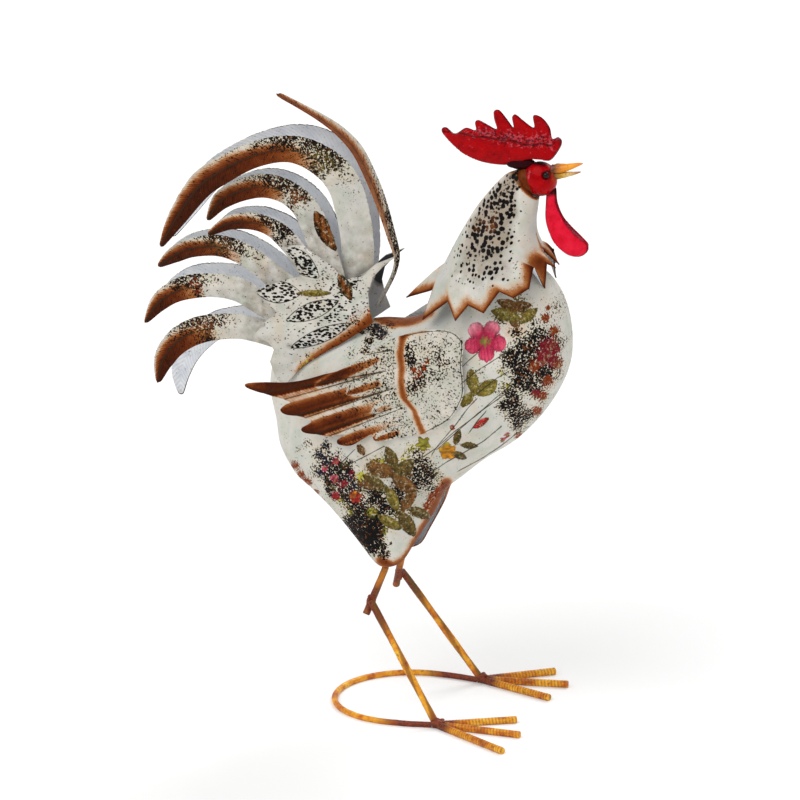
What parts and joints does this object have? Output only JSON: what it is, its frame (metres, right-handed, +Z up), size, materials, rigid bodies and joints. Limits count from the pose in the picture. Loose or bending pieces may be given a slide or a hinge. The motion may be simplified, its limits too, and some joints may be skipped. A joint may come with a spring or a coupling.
{
  "type": "metal rooster ornament",
  "caption": "Standing rooster of stamped and painted sheet metal with arched tail feathers, red comb and wattles, and iron rod legs on a ground loop.",
  "frame": {"origin": "middle of the bounding box, on the ground under the feet", "axes": "+X the way the rooster faces, +Y to its left, +Z up"},
  "size_m": [0.3662, 0.2062, 0.5026],
  "materials": {
    "white_paint": "aged white paint with burnt edges, satin",
    "brown_paint": "burnt brown paint, satin",
    "red_paint": "red paint, glossy",
    "beak_paint": "orange paint, satin",
    "eye_paint": "black paint, glossy",
    "rod_paint": "ochre paint over rust, uneven"
  },
  "bodies": {
    "root": {"base_loop": "rod_paint", "beak_lower": "beak_paint", "beak_upper": "beak_paint", "body_left": "white_paint", "body_right": "white_paint", "comb": "red_paint", "covert_left": "white_paint", "covert_right": "white_paint", "eye_left": "eye_paint", "eye_right": "eye_paint", "hackle_left": "white_paint", "hackle_right": "white_paint", "head": "red_paint", "shank_left": "rod_paint", "shank_right": "rod_paint", "sickle_centre": "brown_paint", "sickle_left": "brown_paint", "sickle_right": "brown_paint", "tail_fan_left": "brown_paint", "tail_fan_right": "brown_paint", "thigh_rod_left": "rod_paint", "thigh_rod_right": "rod_paint", "toe_left_inner": "rod_paint", "toe_left_middle": "rod_paint", "toe_left_outer": "rod_paint", "toe_right_inner": "rod_paint", "toe_right_middle": "rod_paint", "toe_right_outer": "rod_paint", "wattle_left": "red_paint", "wattle_right": "red_paint", "wing_left": "brown_paint", "wing_right": "brown_paint"}
  },
  "joints": []
}
